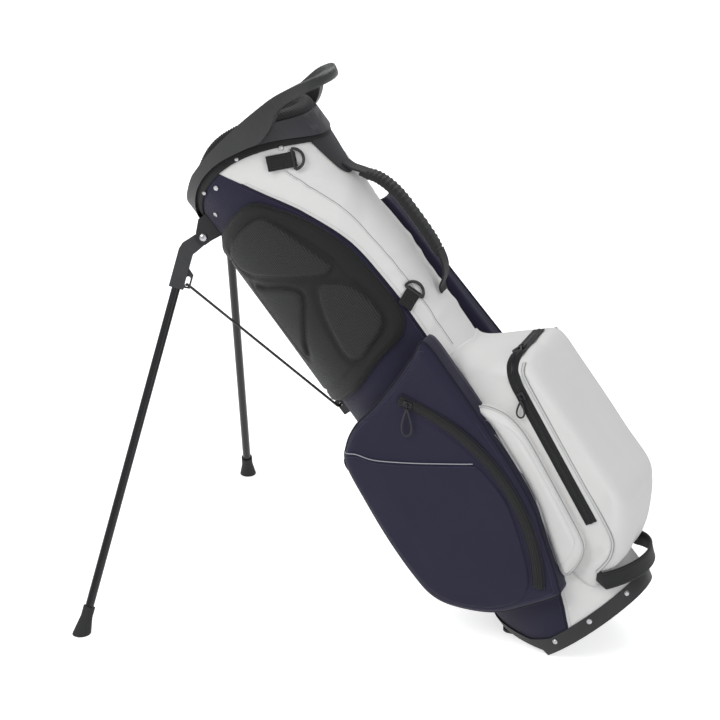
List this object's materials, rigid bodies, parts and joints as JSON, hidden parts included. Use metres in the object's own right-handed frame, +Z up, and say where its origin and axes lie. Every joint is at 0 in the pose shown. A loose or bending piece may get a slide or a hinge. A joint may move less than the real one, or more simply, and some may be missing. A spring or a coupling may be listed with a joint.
{
  "type": "golf stand bag",
  "caption": "Leaning golf bag on a folding two-leg stand, with moulded handle collar, padded hip panel, zipped pockets, carry grip and trunk strap.",
  "frame": {"origin": "middle of the ground plate's underside, on the floor, with the stand opened and the bag leaning on it", "axes": "+Z up; +X towards the spine side (ball pocket and carry grip); -Y is the near side with the curved zip; the bag leans 40 degrees towards -X and the legs stand at -X"},
  "size_m": [0.8134, 0.6176, 0.8265],
  "materials": {
    "moulded_black": "fine matt grain",
    "moulded_grey": "matt",
    "white_fabric": "laminated woven polyester",
    "navy_fabric": "woven polyester",
    "black_webbing": "woven webbing",
    "black_padding": "foam under spacer mesh",
    "steel": "plated",
    "black_steel": "black powder coat",
    "black_aluminium": "black anodised",
    "rubber": "matt",
    "stay_composite": "fibreglass",
    "ring_plastic": "acetal",
    "zip_metal": "gunmetal",
    "pull_cord": "moulded over cord"
  },
  "bodies": {
    "bag": {"base_tray": "moulded_black", "base_rivets": "steel", "white_front_panel": "white_fabric", "near_side_panel": "navy_fabric", "far_side_panel": "navy_fabric", "collar_skirt": "black_webbing", "throat_band": "moulded_grey", "throat_padding": "black_webbing", "collar_handle": "moulded_grey", "divider_frame": "moulded_black", "divider_sheet": "black_webbing", "collar_rivets": "steel", "stay_spine": "stay_composite", "stay_near": "stay_composite", "stay_far": "stay_composite", "hip_pad": "black_padding", "pad_mesh_panels": "black_padding", "garment_pocket": "navy_fabric", "apparel_pocket": "navy_fabric", "ball_pocket": "white_fabric", "accessory_pocket": "white_fabric", "slip_pocket": "navy_fabric", "spine_patch": "black_webbing", "garment_zip_track": "black_webbing", "ball_zip_track": "black_webbing", "carry_grip": "black_webbing", "grip_webbing": "black_webbing", "trunk_strap": "black_webbing", "upper_ring_tab": "black_webbing", "lower_ring_tab": "black_webbing", "near_leg_bracket": "moulded_black", "far_leg_bracket": "moulded_black", "near_pivot_bolt": "steel", "far_pivot_bolt": "steel", "rod_guides": "moulded_black", "plate_hinge_pin": "steel"},
    "near_leg": {"near_leg_yoke": "moulded_grey", "near_leg_tube": "black_aluminium", "near_foot": "rubber"},
    "far_leg": {"far_leg_yoke": "moulded_grey", "far_leg_tube": "black_aluminium", "far_foot": "rubber"},
    "slider": {"sliding_block": "moulded_black", "push_rod": "black_steel"},
    "near_wire": {"near_spreader_wire": "black_steel"},
    "far_wire": {"far_spreader_wire": "black_steel"},
    "plate": {"ground_plate": "moulded_black"},
    "upper_ring": {"upper_d_ring": "ring_plastic"},
    "lower_ring": {"lower_d_ring": "ring_plastic"},
    "garment_slider": {"garment_zip_slider": "zip_metal"},
    "garment_pull": {"garment_zip_pull": "pull_cord"},
    "side_slider": {"ball_zip_slider": "zip_metal"},
    "side_pull": {"ball_zip_pull": "pull_cord"},
    "top_slider": {"top_zip_slider": "zip_metal"},
    "top_pull": {"top_zip_pull": "pull_cord"}
  },
  "joints": [
    {"name": "near_leg_fold", "type": "hinge", "parent": "bag", "child": "near_leg", "pos_m": [-0.51855, -0.056, 0.56977], "axis": [0.3596, -0.8829, 0.3018], "range_deg": [0, 52]},
    {"name": "far_leg_fold", "type": "hinge", "parent": "bag", "child": "far_leg", "pos_m": [-0.51855, 0.056, 0.56977], "axis": [-0.3596, -0.8829, -0.3018], "range_deg": [0, 52]},
    {"name": "slider_travel", "type": "slide", "parent": "bag", "child": "slider", "axis": [0.6428, 0, -0.766], "range_m": [0, 0.04164]},
    {"name": "near_wire_swing", "type": "hinge", "parent": "slider", "child": "near_wire", "pos_m": [-0.32279, -0.009, 0.30847], "axis": [-0.4779, 0.8592, -0.1826], "range_deg": [0, 11.1]},
    {"name": "far_wire_swing", "type": "hinge", "parent": "slider", "child": "far_wire", "pos_m": [-0.32279, 0.009, 0.30847], "axis": [0.4779, 0.8592, 0.1826], "range_deg": [0, 11.1]},
    {"name": "plate_turn", "type": "hinge", "parent": "bag", "child": "plate", "pos_m": [0.0363, 0, 0.005], "axis": [0, -1, 0], "range_deg": [0, 40.01]},
    {"name": "upper_ring_turn", "type": "hinge", "parent": "bag", "child": "upper_ring", "pos_m": [-0.36662, -0.06662, 0.71423], "axis": [0.3439, -0.2856, -0.8945], "range_deg": [0, 140]},
    {"name": "lower_ring_turn", "type": "hinge", "parent": "bag", "child": "lower_ring", "pos_m": [-0.18695, -0.04772, 0.53081], "axis": [0.7503, 0.2837, -0.5971], "range_deg": [0, 140]},
    {"name": "garment_zip_run", "type": "hinge", "parent": "bag", "child": "garment_slider", "pos_m": [-0.23459, 0, 0.12401], "axis": [0, 1, 0], "range_deg": [0, 70]},
    {"name": "garment_pull_lift", "type": "hinge", "parent": "garment_slider", "child": "garment_pull", "pos_m": [-0.16316, -0.1328, 0.3906], "axis": [-1, 0, 0], "range_deg": [0, 110]},
    {"name": "side_zip_run", "type": "slide", "parent": "bag", "child": "side_slider", "axis": [0.5194, 0, -0.8545], "range_m": [0, 0.2]},
    {"name": "side_pull_lift", "type": "hinge", "parent": "side_slider", "child": "side_pull", "pos_m": [-0.0071, -0.0868, 0.41168], "axis": [-1, 0, 0], "range_deg": [0, 110]},
    {"name": "top_zip_run", "type": "slide", "parent": "bag", "child": "top_slider", "axis": [0, 1, 0], "range_m": [0, 0.06]},
    {"name": "top_pull_lift", "type": "hinge", "parent": "top_slider", "child": "top_pull", "pos_m": [-0.02689, -0.03, 0.46716], "axis": [-0.9726, 0, -0.2323], "range_deg": [0, 110]}
  ],
  "couplings": [
    {"joint": "far_leg_fold", "follows": "near_leg_fold", "ratio": 1},
    {"joint": "slider_travel", "follows": "near_leg_fold", "m_per_rad": 0.045769},
    {"joint": "near_wire_swing", "follows": "near_leg_fold", "ratio": 0.21309},
    {"joint": "far_wire_swing", "follows": "near_leg_fold", "ratio": 0.21309},
    {"joint": "plate_turn", "follows": "near_leg_fold", "ratio": 0.76923}
  ]
}
